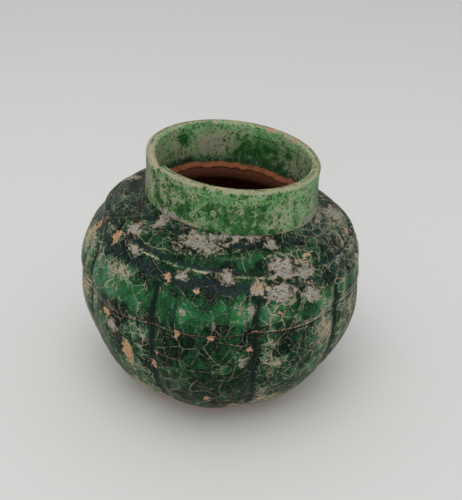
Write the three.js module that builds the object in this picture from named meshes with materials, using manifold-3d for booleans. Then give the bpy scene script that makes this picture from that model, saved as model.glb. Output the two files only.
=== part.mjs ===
// Small melon-lobed earthenware jar. Two pressed halves meet at the belly, a short collar sits
// askew on the shoulder, slip is smeared over both joints inside, and a glaze coats the outside.
import * as THREE from "three";
import { mergeVertices } from "three/addons/utils/BufferGeometryUtils.js";
import Module from "manifold-3d";

const wasm = await Module();
wasm.setup();

// Body over the glaze, at the crest of a lobe (millimetres)
const bellyRadius = 50;
const bellyHeight = 34.6;
const footRadius = 29;
const shoulderRise = 33.9;
const lowerRoundness = 1.63;
const upperRoundness = 3.5;

// Lobes pressed into both halves (angles in radians, from the front towards the right)
const lobeCount = 10;
const lobeTurn = -0.1;
const lobeSpread = 0.1;
const lobeFlare = 0.12;
const furrowDepth = 1.7;
const furrowSoftness = 0.1;
const channelDepth = 0.5;
const channelShare = 0.06;
const insideLobeShare = 0.4;

// Clay of the two halves
const wall = 4;
const floorThickness = 5;
const footHollow = 1;
const footRing = 6;
const seamAboveBelly = 8.4;
const seamStep = 0.4;

// Ring mouldings of the shoulder: widths as shares of the way from the neck to the belly
const troughShare = 0.25;
const bandShare = 0.32;
const grooveShare = 0.07;
const beadShare = 0.06;
const valleyShare = 0.165;
const troughDepth = 0.6;
const bandHeight = 0.8;
const grooveDepth = 0.5;
const beadHeight = 0.4;
const valleyDepth = 0.7;

// Neck, over its glaze; it stands to the right and back of the middle, and its seat and rim slope
const neckRadius = 30.2;
const lipTaper = 0.35;
const neckHeight = 16.1;
const neckWaist = 0.4;
const neckWall = 2.2;
const lipCrown = 1;
const neckRight = 3.2;
const neckBack = 1.5;
const leanRight = 0.5;
const leanBack = 0.9;
const seatSlopeRight = -0.1;
const rimSlopeRight = -0.082;
const rimSlopeBack = 0.042;
const seatRaise = 0.5;
const ledgeWidth = 2.2;

// Chip in the lip at the left: it deepens towards the front and ends there in a step
const chipAngle = -1.75;
const chipTurn = 0.75;
const chipDepth = 2;

// Slip smeared over the joints inside
const bellySlipReach = 4;
const bellySlipThickness = 1.2;
const neckSlipHeight = 1.7;
const neckSlipToe = 0.7;

// Glaze coats, and the patch that has flaked off the lower half
const glaze = 0.5;
const bareLip = 1.7;
const bareSeam = 0.15;
const flakeAngle = -0.646;
const flakeHeight = 29.5;
const flakeWidth = 4.5;
const flakeLength = 11;

// Clearance between neighbouring pieces
const gap = 0.05;

// Sizes that follow from the ones above
const seamHeight = bellyHeight + seamAboveBelly;
const shoulderSpan = bellyRadius - neckRadius;
const bandInner = neckRadius + troughShare * shoulderSpan;
const bandOuter = bandInner + bandShare * shoulderSpan;
const beadInner = bandOuter + grooveShare * shoulderSpan;
const beadOuter = beadInner + beadShare * shoulderSpan;
const lobeTopRadius = beadOuter + valleyShare * shoulderSpan;
const lobeTopHeight = crestHeight(lobeTopRadius);
const seatHeight = crestHeight(neckRadius) + seatRaise;
const neckRootRadius = neckRadius + 2 * gap;
const lipRadius = neckRadius - lipTaper;
const boreRadius = neckRadius - glaze - neckWall;
const mouthRadius = boreRadius - ledgeWidth;
const lining = glaze + wall;

// Turned steps of a lobe, closer together at the furrows
const lobeSteps = [0, channelShare, 0.22, 0.5, 0.78, 1 - channelShare];
const stepCount = lobeCount * lobeSteps.length;

function smooth(x, from, to) {
  return THREE.MathUtils.smoothstep(x, from, to);
}

// Radius of the body at a lobe's crest, and on the shoulder the height for a radius
function crestRadius(z) {
  if (z >= bellyHeight) {
    const rise = (z - bellyHeight) / shoulderRise;
    return bellyRadius * (1 - rise ** upperRoundness) ** (1 / upperRoundness);
  }
  const drop = 1 - z / bellyHeight;
  const flare = (1 - drop ** lowerRoundness) ** (1 / lowerRoundness);
  return footRadius + (bellyRadius - footRadius) * flare;
}

function crestHeight(r) {
  const reach = (r / bellyRadius) ** upperRoundness;
  return bellyHeight + shoulderRise * (1 - reach) ** (1 / upperRoundness);
}

// Direction square to the crest curve at a point on it
function outward(r, z) {
  const upper = z >= bellyHeight;
  const power = (upper ? upperRoundness : lowerRoundness) - 1;
  const reach = upper ? bellyRadius : bellyRadius - footRadius;
  const run = upper ? r : r - footRadius;
  const height = upper ? shoulderRise : bellyHeight;
  const along = (run / reach) ** power / reach;
  const up = (Math.abs(z - bellyHeight) / height) ** power / height;
  return new THREE.Vector2(along, upper ? up : -up).normalize();
}

// Height of the ring mouldings above the shoulder's curve
function moulding(r) {
  const swell = (from, to) => {
    const across = THREE.MathUtils.clamp((r - from) / (to - from), 0, 1);
    return Math.sin(Math.PI * across);
  };
  const trough = troughDepth * swell(neckRadius, bandInner);
  const band = bandHeight * swell(bandInner, bandOuter);
  const groove = grooveDepth * swell(bandOuter, beadInner);
  const bead = beadHeight * swell(beadInner, beadOuter);
  const valley = valleyDepth * swell(beadOuter, lobeTopRadius);
  return band + bead - trough - groove - valley;
}

// Outline points hold a radius, a height and their share of the lobes' relief.
// This one lies in the wall, a depth below the glazed skin.
function wallPoint(z, depth, lobed) {
  const r = crestRadius(z);
  return [r - depth / outward(r, z).x, z, lobed];
}

// The outside of the lower half draws in below the seam, so the upper half overhangs it
function lowerPoint(z, depth) {
  const [r] = wallPoint(z, depth, 1);
  return [r - seamStep * smooth(z, bellyHeight, seamHeight), z, 1];
}

function shoulderPoint(r, depth, lobed) {
  const z = crestHeight(r);
  const way = outward(r, z).multiplyScalar(moulding(r) - depth);
  return [r + way.x, z + way.y, lobed];
}

// Depth of the furrows for a turn counted in lobes, and how it fades at the shoulder
function furrow(turn) {
  const away = Math.abs(turn - Math.round(turn));
  const round = 1 - Math.hypot(Math.sin(Math.PI * away), furrowSoftness);
  return furrowDepth * round + channelDepth * (1 - smooth(away, 0, channelShare));
}

function lobeFade(z) {
  return 1 - smooth(z, lobeTopHeight - 3, lobeTopHeight + 2);
}

// Angle of a turn; the front lobes are wider than the back ones, most of all at the foot
function lobeAngle(turn, z) {
  const even = (2 * Math.PI * (turn + 0.5)) / lobeCount;
  const spread = lobeSpread + lobeFlare * (1 - smooth(z, 0, bellyHeight));
  return lobeTurn + even + spread * Math.sin(even);
}

// Puts an outline point of the body in space; its sections slide and tilt towards the neck's seat
function onBody([r, z, lobed], turn) {
  const angle = lobeAngle(turn, z);
  const radius = r - lobed * lobeFade(z) * furrow(turn);
  const slide = smooth(z, seamHeight + wall, seatHeight - wall);
  const tilt = smooth(z, seamHeight, seatHeight - wall);
  const x = radius * Math.sin(angle);
  const y = -radius * Math.cos(angle);
  return [slide * neckRight + x, slide * neckBack + y, z + tilt * seatSlopeRight * x];
}

// A point of the neck, whose slope changes from its seat to its rim
function neckSpot(r, rise, angle) {
  const up = rise / neckHeight;
  const x = r * Math.sin(angle);
  const y = -r * Math.cos(angle);
  const slope = (1 - up) * seatSlopeRight * x + up * (rimSlopeRight * x + rimSlopeBack * y);
  return [neckRight + up * leanRight + x, neckBack + up * leanBack + y, seatHeight + rise + slope];
}

function onNeck([r, rise], turn) {
  return neckSpot(r, rise, lobeAngle(turn, seatHeight));
}

// Outside radius of the neck's glaze at a height above the seat
function neckSkin(rise) {
  const up = rise / neckHeight;
  return neckRadius - lipTaper * up - neckWaist * Math.sin(Math.PI * up);
}

// A geometry as a solid that faces outwards
function solidOf(geometry) {
  const bare = geometry.clone();
  bare.deleteAttribute("normal");
  bare.deleteAttribute("uv");
  const merged = mergeVertices(bare, 1e-4);
  const corners = [];
  for (let k = 0; k < merged.index.count; k += 3) {
    const [a, b, c] = merged.index.array.slice(k, k + 3);
    if (a !== b && b !== c && c !== a) {
      corners.push([a, b, c]);
    }
  }
  const facing = (order) => {
    const triVerts = Uint32Array.from(corners.flatMap(order));
    const vertProperties = merged.attributes.position.array;
    return new wasm.Manifold(new wasm.Mesh({ numProp: 3, vertProperties, triVerts }));
  };
  const solid = facing((corner) => corner);
  return solid.volume() > 0 ? solid : facing(([a, b, c]) => [a, c, b]);
}

function geometryOf(solid) {
  const mesh = solid.getMesh();
  const geometry = new THREE.BufferGeometry();
  geometry.setAttribute("position", new THREE.BufferAttribute(mesh.vertProperties, 3));
  geometry.setIndex(new THREE.BufferAttribute(mesh.triVerts, 1));
  geometry.computeVertexNormals();
  return geometry;
}

// Turns an outline into a solid, moving each turned point to its place on the body or the neck
function turned(outline, place) {
  const points = outline.map(([r, z]) => new THREE.Vector2(r, z));
  const lathe = new THREE.LatheGeometry(points, stepCount);
  const position = lathe.getAttribute("position");
  for (let k = 0; k < position.count; k++) {
    const step = Math.floor(k / points.length) % stepCount;
    const turn = Math.floor(step / lobeSteps.length) + lobeSteps[step % lobeSteps.length];
    position.setXYZ(k, ...place(outline[k % points.length], turn));
  }
  return solidOf(lathe);
}

// Heights of the body's outline from just above the foot to the belly, and from the seam to the lobes' tops
function lowerHeights() {
  const steps = 6;
  return Array.from({ length: steps }, (_, k) => bellyHeight * ((k + 1) / steps) ** 1.5);
}

function upperHeights() {
  return [1 / 3, 2 / 3].map((share) => seamHeight + share * (lobeTopHeight - seamHeight));
}

// Radii of the shoulder's outline, from the lobes' tops up to the neck
function shoulderRadii() {
  const valley = lobeTopRadius - beadOuter;
  const band = bandOuter - bandInner;
  return [
    lobeTopRadius,
    lobeTopRadius - valley / 4,
    beadOuter + valley / 4,
    beadOuter,
    (beadOuter + beadInner) / 2,
    beadInner,
    (beadInner + bandOuter) / 2,
    bandOuter,
    bandOuter - band / 4,
    bandInner + band / 4,
    bandInner,
    (bandInner + neckRadius) / 2,
  ];
}

function lowerBody() {
  const floorTop = footHollow + floorThickness;
  const slipEdge = seamHeight - bellySlipReach;
  const inside = [...lowerHeights(), slipEdge]
    .filter((z) => z > floorTop + gap && z <= slipEdge)
    .sort((a, b) => b - a)
    .map((z) => wallPoint(z, lining, insideLobeShare));
  const [cornerRadius] = inside.at(-1);
  return turned(
    [
      [0, footHollow, 0],
      [footRadius - footRing - footHollow, footHollow, 0],
      [footRadius - footRing, 0, 0],
      [footRadius - glaze, 0, 1],
      ...lowerHeights().map((z) => lowerPoint(z, glaze)),
      lowerPoint(seamHeight, glaze),
      wallPoint(seamHeight, lining, insideLobeShare),
      ...inside,
      [cornerRadius - footHollow, floorTop, 0],
      [0, floorTop, 0],
    ],
    onBody,
  );
}

function upperBody() {
  const slipEdge = seamHeight + bellySlipReach;
  const vault = [neckRadius, bandInner, bandOuter, lobeTopRadius].map((r) => shoulderPoint(r, lining, 0));
  const vaultTop = vault[0][1];
  const vaultFoot = vault.at(-1)[1];
  const inside = [(vaultFoot + slipEdge) / 2, slipEdge, seamHeight];
  return turned(
    [
      wallPoint(seamHeight, glaze, 1),
      ...upperHeights().map((z) => wallPoint(z, glaze, 1)),
      ...shoulderRadii().map((r) => shoulderPoint(r, glaze, 1)),
      [neckRootRadius, seatHeight, 0],
      [mouthRadius, seatHeight, 0],
      [mouthRadius, vaultTop, 0],
      ...vault,
      ...inside.map((z) => wallPoint(z, lining, insideLobeShare)),
      wallPoint(seamHeight, glaze, 1),
    ],
    onBody,
  );
}

// Outline of a coat, from its face on the clay to its skin
function coat(pointsAt) {
  const under = pointsAt(glaze - gap);
  const over = pointsAt(0).reverse();
  return [...under, ...over, under[0]];
}

// The patch that has flaked off, as an egg shape through the coat
function flake() {
  const egg = new THREE.SphereGeometry(1, 14, 10);
  egg.scale(flakeWidth / 2, 4 * glaze, flakeLength / 2);
  egg.rotateZ(flakeAngle);
  const [r] = wallPoint(flakeHeight, glaze, 1);
  egg.translate(r * Math.sin(flakeAngle), -r * Math.cos(flakeAngle), flakeHeight);
  return solidOf(egg);
}

function lowerGlaze() {
  const heights = [...lowerHeights(), seamHeight - bareSeam];
  const outline = coat((depth) => heights.map((z) => lowerPoint(z, depth)));
  return turned(outline, onBody).subtract(flake());
}

function upperGlaze() {
  const outline = coat((depth) => [
    wallPoint(seamHeight + bareSeam, depth, 1),
    ...upperHeights().map((z) => wallPoint(z, depth, 1)),
    ...shoulderRadii().map((r) => shoulderPoint(r, depth, 1)),
    [neckRootRadius + gap, seatHeight + glaze - depth, 0],
  ]);
  return turned(outline, onBody);
}

// The break in the lip, as a wedge across the wall between two places on the rim
function chip() {
  const start = new THREE.Vector3(...neckSpot(lipRadius, neckHeight, chipAngle));
  const end = new THREE.Vector3(...neckSpot(lipRadius, neckHeight, chipAngle + chipTurn));
  const along = end.clone().sub(start);
  const length = along.length();
  const wedge = new THREE.Shape();
  wedge.moveTo(0, 0);
  wedge.lineTo(length, -chipDepth);
  wedge.lineTo(length + chipDepth / 4, chipDepth);
  wedge.lineTo(0, chipDepth);
  const across = 4 * neckWall;
  const geometry = new THREE.ExtrudeGeometry(wedge, { depth: across, bevelEnabled: false });
  geometry.translate(0, 0, -across / 2);
  const forward = along.normalize();
  const inward = new THREE.Vector3(0, 0, 1).cross(forward).negate().normalize();
  const upright = inward.clone().cross(forward);
  geometry.applyMatrix4(new THREE.Matrix4().makeBasis(forward, upright, inward));
  geometry.translate(start.x, start.y, start.z);
  return solidOf(geometry);
}

function neckCollar() {
  const half = neckWall / 2;
  const bend = neckHeight - lipCrown;
  const lipMiddle = neckSkin(bend) - glaze - half;
  const lip = [0, 1, 2, 3, 4].map((k) => {
    const angle = (Math.PI * k) / 4;
    return [lipMiddle + half * Math.cos(angle), bend + lipCrown * Math.sin(angle)];
  });
  const middle = neckHeight / 2;
  const outline = [
    [neckRadius - glaze, gap],
    [neckSkin(middle) - glaze, middle],
    ...lip,
    [neckSkin(middle) - glaze - neckWall, middle],
    [boreRadius, gap],
    [neckRadius - glaze, gap],
  ];
  return turned(outline, onNeck).subtract(chip());
}

function neckGlazeOutside() {
  const rises = [gap, neckHeight / 2, neckHeight - bareLip];
  const outline = coat((depth) => rises.map((rise) => [neckSkin(rise) - depth, rise]));
  return turned(outline, onNeck).subtract(chip());
}

function neckGlazeInside() {
  const rises = [neckHeight - bareLip, neckHeight / 2, neckSlipHeight + gap];
  const bore = 2 * glaze + neckWall;
  const outline = coat((depth) => rises.map((rise) => [neckSkin(rise) - bore + depth, rise]));
  return turned(outline, onNeck).subtract(chip());
}

function bellySlip() {
  const heights = [seamHeight + bellySlipReach, seamHeight, seamHeight - bellySlipReach];
  const back = heights.map((z) => wallPoint(z, lining + gap, insideLobeShare));
  const face = heights.map((z) => {
    const thickness = z === seamHeight ? bellySlipThickness : bellySlipThickness / 3;
    return wallPoint(z, lining + gap + thickness, insideLobeShare);
  });
  return turned([...back, ...face.reverse(), back[0]], onBody);
}

function neckSlip() {
  const top = neckSkin(neckSlipHeight) - glaze - neckWall - gap;
  const heel = boreRadius - gap;
  const outline = [
    [top, neckSlipHeight],
    [heel, gap],
    [mouthRadius, gap],
    [mouthRadius, neckSlipToe],
    [(mouthRadius + heel) / 2, neckSlipHeight / 2],
    [top - glaze / 2, neckSlipHeight],
    [top, neckSlipHeight],
  ];
  return turned(outline, onNeck);
}

const jar = new THREE.Group();

function addPiece(name, solid, color, roughness) {
  const material = new THREE.MeshStandardMaterial({ color, roughness, metalness: 0 });
  const mesh = new THREE.Mesh(geometryOf(solid), material);
  mesh.name = name;
  jar.add(mesh);
}

addPiece("lower_body", lowerBody(), 0xc08a66, 0.9);
addPiece("upper_body", upperBody(), 0xb57f5c, 0.9);
addPiece("neck_collar", neckCollar(), 0xc9a183, 0.85);
addPiece("belly_luting_slip", bellySlip(), 0x6b3a26, 0.95);
addPiece("neck_luting_slip", neckSlip(), 0x8a4b2e, 0.95);
addPiece("lower_body_glaze", lowerGlaze(), 0x1e4a2e, 0.35);
addPiece("upper_body_glaze", upperGlaze(), 0x1b4030, 0.35);
addPiece("neck_glaze_outside", neckGlazeOutside(), 0x4d8458, 0.5);
addPiece("neck_glaze_inside", neckGlazeInside(), 0x3f6b45, 0.5);

export default jar;
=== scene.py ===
import math

import bpy
import numpy as np
from bpy.props import FloatProperty, FloatVectorProperty, IntProperty, PointerProperty
from mathutils import Matrix, Vector


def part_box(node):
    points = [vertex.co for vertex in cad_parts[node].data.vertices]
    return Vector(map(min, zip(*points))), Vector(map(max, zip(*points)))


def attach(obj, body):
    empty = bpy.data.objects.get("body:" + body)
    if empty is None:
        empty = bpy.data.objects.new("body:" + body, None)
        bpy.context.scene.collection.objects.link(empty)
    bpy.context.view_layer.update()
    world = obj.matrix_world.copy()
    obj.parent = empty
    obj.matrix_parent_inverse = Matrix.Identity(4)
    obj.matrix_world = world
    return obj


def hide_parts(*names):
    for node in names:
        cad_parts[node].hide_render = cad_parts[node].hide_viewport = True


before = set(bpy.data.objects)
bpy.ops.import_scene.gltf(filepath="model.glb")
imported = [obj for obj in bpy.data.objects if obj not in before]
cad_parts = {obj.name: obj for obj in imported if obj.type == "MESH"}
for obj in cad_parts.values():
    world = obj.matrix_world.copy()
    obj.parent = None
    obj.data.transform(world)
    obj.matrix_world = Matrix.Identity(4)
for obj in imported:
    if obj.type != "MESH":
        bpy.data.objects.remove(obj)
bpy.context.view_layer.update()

bl_info = {
    "name": "Lobed Green Vase",
    "version": (1, 0, 0),
    "blender": (4, 5, 0),
    "location": "View3D > Sidebar > Vase",
    "description": "Builds a small lobed earthenware vase with a worn, crackled green glaze",
    "category": "Object",
}

MM = 0.001


def length(name, default, description):
    return FloatProperty(
        name=name, description=description, default=default, subtype="DISTANCE", unit="LENGTH", precision=5
    )


def share(name, default, description):
    return FloatProperty(name=name, description=description, default=default, precision=4)


def turn_angle(name, default, description):
    return FloatProperty(name=name, description=description, default=default, subtype="ANGLE")


def colour(name, default, description):
    return FloatVectorProperty(
        name=name, description=description, default=default, subtype="COLOR", size=3, min=0, max=1
    )


class VaseShape(bpy.types.PropertyGroup):
    """Sizes of the clay and the glaze, over the glaze at the crest of a lobe."""

    belly_radius: length("Belly radius", 0.050, "Largest radius of the body")
    belly_height: length("Belly height", 0.0346, "Height of the largest radius")
    foot_radius: length("Foot radius", 0.029, "Radius where the wall meets the foot")
    shoulder_rise: length("Shoulder rise", 0.0339, "Height of the shoulder's curve above the belly")
    lower_roundness: share("Lower roundness", 1.63, "Power of the curve below the belly")
    upper_roundness: share("Upper roundness", 3.5, "Power of the curve above the belly")
    lobes: IntProperty(name="Lobes", description="Lobes round the body", default=10)
    lobe_turn: turn_angle("Lobe turn", -0.1, "Angle of the front lobe")
    lobe_spread: share("Lobe spread", 0.1, "How much wider the front lobes are than the back ones")
    lobe_flare: share("Lobe flare", 0.12, "How much that grows towards the foot")
    furrow_depth: length("Furrow depth", 0.0017, "Depth of the furrows between lobes")
    furrow_softness: share("Furrow softness", 0.1, "Rounding of the furrow's bottom")
    channel_depth: length("Channel depth", 0.0005, "Extra depth in the middle of a furrow")
    channel_share: share("Channel share", 0.06, "Half width of that channel in lobes")
    ridge_height: length("Ridge height", 0.00025, "Height of the worn ridges beside a furrow")
    trough_share: share("Trough share", 0.25, "Width of the trough round the neck")
    band_share: share("Band share", 0.32, "Width of the rounded band")
    groove_share: share("Groove share", 0.07, "Width of the groove below the band")
    bead_share: share("Bead share", 0.06, "Width of the bead below the groove")
    valley_share: share("Valley share", 0.165, "Width of the dark valley above the lobes")
    trough_depth: length("Trough depth", 0.0006, "Depth of the trough")
    band_height: length("Band height", 0.0008, "Height of the band")
    groove_depth: length("Groove depth", 0.0005, "Depth of the groove")
    bead_height: length("Bead height", 0.0004, "Height of the bead")
    valley_depth: length("Valley depth", 0.0007, "Depth of the valley")
    neck_radius: length("Neck radius", 0.0302, "Radius of the neck at its root")
    lip_taper: length("Lip taper", 0.00035, "How much narrower the lip is")
    neck_height: length("Neck height", 0.0161, "Height of the neck above its seat")
    neck_waist: length("Neck waist", 0.0004, "How much the neck draws in half-way up")
    neck_wall: length("Neck wall", 0.0022, "Thickness of the neck's clay")
    lip_crown: length("Lip crown", 0.001, "Height of the rounded lip")
    neck_right: length("Neck right", 0.0032, "How far the neck sits to the right")
    neck_back: length("Neck back", 0.0015, "How far the neck sits to the back")
    lean_right: length("Lean right", 0.0005, "Lean of the rim to the right")
    lean_back: length("Lean back", 0.0009, "Lean of the rim to the back")
    seat_raise: length("Seat raise", 0.0005, "Height of the neck's seat above the shoulder's curve")
    seat_slope: share("Seat slope", -0.1, "Slope of the shoulder and the neck's seat to the right")
    rim_slope_right: share("Rim slope right", -0.082, "Slope of the rim to the right")
    rim_slope_back: share("Rim slope back", 0.042, "Slope of the rim to the back")
    wall: length("Wall", 0.004, "Thickness of the body's clay")
    floor_thickness: length("Floor thickness", 0.005, "Thickness of the clay under the hollow")
    foot_hollow: length("Foot hollow", 0.001, "Depth of the hollow under the foot")
    foot_ring: length("Foot ring", 0.006, "Width of the ring that the vase stands on")
    seam_step: length("Seam step", 0.0004, "Overhang of the upper half at the seam")
    seam_roll: length("Seam roll", 0.00045, "How far the upper half rolls in above the seam")
    ledge_width: length("Ledge width", 0.0022, "Width of the ledge inside the neck's root")
    glaze: length("Glaze", 0.0005, "Thickness of the glaze")
    chip_angle: turn_angle("Chip angle", -1.75, "Where the chip in the lip begins")
    chip_turn: turn_angle("Chip turn", 0.75, "Angle that the chip covers")
    chip_depth: length("Chip depth", 0.002, "Depth of the chip at its front end")
    gap: length("Gap", 0.00005, "Clearance between glaze and clay")
    columns: IntProperty(name="Columns", description="Steps round the glaze", default=640)


class VaseFinish(bpy.types.PropertyGroup):
    """Colours of the clay, the glaze and what time has left on it."""

    deep: colour("Deep green", (0.0018, 0.0092, 0.0042), "Thick glaze")
    bright: colour("Bright green", (0.024, 0.158, 0.05), "Thin glaze over pale clay")
    neck_deep: colour("Neck deep green", (0.013, 0.085, 0.015), "Glaze in the pits of the neck")
    neck_bright: colour("Neck bright green", (0.22, 0.46, 0.19), "Glaze on the neck")
    # Pooled glaze in the hollows, darkened as painted shade and tinted blue as a painted reflection of the
    # sky.
    pooled_shade_and_sheen: colour("Pooled glaze", (0.02, 0.033, 0.038), "Blue-black glaze in the hollows")
    crack: colour("Crack", (0.47, 0.345, 0.215), "Earth in the cracks")
    worn: colour("Worn", (0.38, 0.35, 0.265), "Ground away down to the clay's skin")
    bloom: colour("Bloom", (0.11, 0.23, 0.155), "Weathered, matt glaze")
    neck_bloom: colour("Neck bloom", (0.28, 0.42, 0.25), "Weathered glaze on the neck")
    neck_crack: colour("Neck crack", (0.43, 0.36, 0.24), "Pale earth in the cracks of the neck")
    neck_worn: colour("Neck worn", (0.3, 0.33, 0.22), "Rubbed glaze on the neck")
    crust: colour("Crust", (0.335, 0.33, 0.315), "Silver-grey crust")
    clay: colour("Clay", (0.47, 0.21, 0.11), "Fresh break in the clay")
    pale_clay: colour("Pale clay", (0.45, 0.37, 0.24), "Rubbed clay of the lip")
    lip_stain: colour("Lip stain", (0.12, 0.2, 0.09), "Thin glaze rubbed over the lip")
    slip: colour("Slip", (0.27, 0.095, 0.042), "Smeared slip inside")
    dark_clay: colour("Dark clay", (0.14, 0.048, 0.023), "Stained clay inside")


class VaseStage(bpy.types.PropertyGroup):
    """Camera, floor and light."""

    elevation: turn_angle("Elevation", math.radians(28.868), "Camera's angle above the floor")
    roll: turn_angle("Roll", math.radians(1.5), "Camera's roll")
    distance: length("Distance", 0.280, "From the camera to the point that it looks at")
    aim_right: length("Aim right", 0.00352, "Where the camera looks, to the right of the axis")
    aim_height: length("Aim height", 0.0466, "Where the camera looks, above the floor")
    lens: FloatProperty(name="Lens", description="Focal length in millimetres", default=55.85)
    floor: colour("Floor", (0.76, 0.755, 0.74), "Plain pale floor")
    sky: FloatProperty(name="Sky", description="Strength of the even light", default=0.65)
    lamp: FloatProperty(name="Lamp", description="Power of the soft lamp in watts", default=2.1)
    fill: FloatProperty(name="Fill", description="Power of the low front lamp in watts", default=0.9)


# Places seen on the vase: angle from the front in degrees, height, half width and half length in mm.
# On the neck the height counts from its seat.
CRUST = (
    (-44, 66.5, 2.0, 6.0), (-16, 65.5, 6.2, 4.0), (7, 66.8, 7.2, 1.2), (24, 66.2, 2.1, 2.6),
    (24, 62.2, 4.2, 3.8), (-1, 60.5, 2.3, 1.9), (-18, 58.8, 1.6, 1.4), (13, 58.0, 2.4, 2.2),
    (22, 56.5, 4.6, 2.9), (36, 54.5, 3.2, 2.3), (34, 61.0, 2.5, 3.3), (-50, 63.2, 2.2, 2.6),
    (-43, 60.0, 2.4, 1.4), (-44, 37.5, 2.4, 1.8), (12, 51.8, 1.2, 1.9), (90, 65.0, 5.0, 4.0),
    (9, 32.0, 0.8, 1.6),
)
BARE = (
    (-57, 60.0, 2.0, 3.0), (-24, 57.8, 1.4, 1.3), (-22, 57.0, 0.8, 0.8), (-10, 56.2, 1.2, 1.1),
    (-15, 42.5, 0.9, 1.4), (-2, 42.2, 1.4, 1.2), (-26, 26.5, 1.2, 2.6), (-24, 32.5, 1.0, 0.8),
    (-48, 41.0, 3.0, 1.6), (12, 37.2, 1.2, 1.2), (23, 50.0, 0.9, 0.9), (38, 63.8, 1.6, 1.1),
    (13, 58.5, 1.7, 1.2), (8, 5.8, 2.0, 3.0), (-76, 57.5, 1.8, 3.6), (-4, 14.0, 1.6, 1.4),
)
FLAKE = ((-37, 29.5, 2.25, 5.5),)
FILM = (
    (9, 33.5, 3.1, 4.5), (20, 30.2, 4.7, 6.4), (44, 39.8, 4.5, 12.5), (-13, 50.2, 2.4, 5.5),
    (-45, 54.5, 8.0, 4.0), (-23, 54.8, 2.4, 3.5), (8, 52.0, 2.4, 6.0), (-37, 24.0, 3.0, 5.0),
)
DARK = (
    (-42, 43.8, 6.5, 4.6), (-30, 35.5, 3.3, 3.6), (32, 51.2, 6.4, 2.5), (32, 42.2, 5.3, 2.4),
    (2, 46.0, 6.0, 1.5),
)
BLISTERS = ((-44, 53.2, 1.2, 1.0), (-16, 50.0, 0.6, 4.0), (23, 50.0, 1.1, 1.1))
NECK_CRUST = ((62, 1.8, 5.5, 2.4), (-42, 1.0, 4.3, 2.0))
NECK_BARE = (
    (-37, 0.2, 2.0, 1.2), (-4, 0.1, 1.2, 0.6), (18, 0.1, 2.0, 0.6), (150, 15.8, 3.0, 1.6),
    (128, 15.6, 2.4, 1.2),
)
# How far a place reaches into and out of the skin, in mm
PATCH_DEPTH = 6.0

# Glaze at the seam and the neck's root, in metres: how far each coat stops short of the seam, how far
# the lower one turns in, half the width of the worn line above the seam and of the painted shadow below it,
# and where the sweep to the neck starts
SEAM_GAP = 0.00015
SEAM_TUCK = 0.0002
SEAM_MARK = 0.0007
ROOT_START = 0.0012

# Clay and slip inside, in metres: the foot that stays flat, the rounding of the floor's edge, the belly
# slip's thickness at its edges and its swell, and the neck slip's top and toe
FOOT_SMOOTH = 0.002
FLOOR_ROUND = 0.001
SLIP_EDGE = 0.0004
SLIP_SWELL = 0.0008
SLIP_TOP = 0.0017
SLIP_TOE = 0.0006

# Where the glaze inside the neck begins, above the neck's seat
INNER_GLAZE_LOW = 0.0018

# Unevenness of the skin in metres
WAVE = 0.00012
DIMPLE = 0.00005
INNER_WAVE = 0.0001
CHIP_SINK = 0.00036
CRUST_RISE = 0.00012
NECK_CHIP_SINK = 0.0003
NECK_CRUST_RISE = 0.0001

# Share of the furrows' depth that shows inside the body
INNER_LOBES = 0.4

# Edges sharper than this stay sharp
SHARP_EDGE = math.radians(60.0)

# Steps round the clay and round the neck's clay and slip, and up the neck's coats and over the lip
CLAY_COLUMNS = 320
NECK_COLUMNS = 480
NECK_STEPS = 50
LIP_STEPS = 10


def smooth(x, low, high):
    t = np.clip((x - low) / (high - low), 0.0, 1.0)
    return t * t * (3.0 - 2.0 * t)


def bell(x, middle, width):
    return np.exp(-(((x - middle) / width) ** 2))


def degrees_of(angle):
    return np.degrees((angle + np.pi) % (2.0 * np.pi) - np.pi)


def facing(degrees, middle, width):
    """1 on the side that faces the middle, in degrees, and fading round from it."""
    return bell((degrees - middle + 180.0) % 360.0, 180.0, width)


def lattice_noise(points, cell, seed):
    """Smooth noise from -1 to 1 at points, with features of about one cell."""
    side = 32
    values = np.random.default_rng(seed).uniform(-1.0, 1.0, (side, side, side))
    at = points / cell + side * 4
    low = np.floor(at).astype(int)
    f = at - low
    f = f * f * (3.0 - 2.0 * f)
    total = 0.0
    for corner in np.ndindex(2, 2, 2):
        weight = 1.0
        index = []
        for axis in range(3):
            weight = weight * (f[..., axis] if corner[axis] else 1.0 - f[..., axis])
            index.append((low[..., axis] + corner[axis]) % side)
        total = total + weight * values[tuple(index)]
    return total


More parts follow.
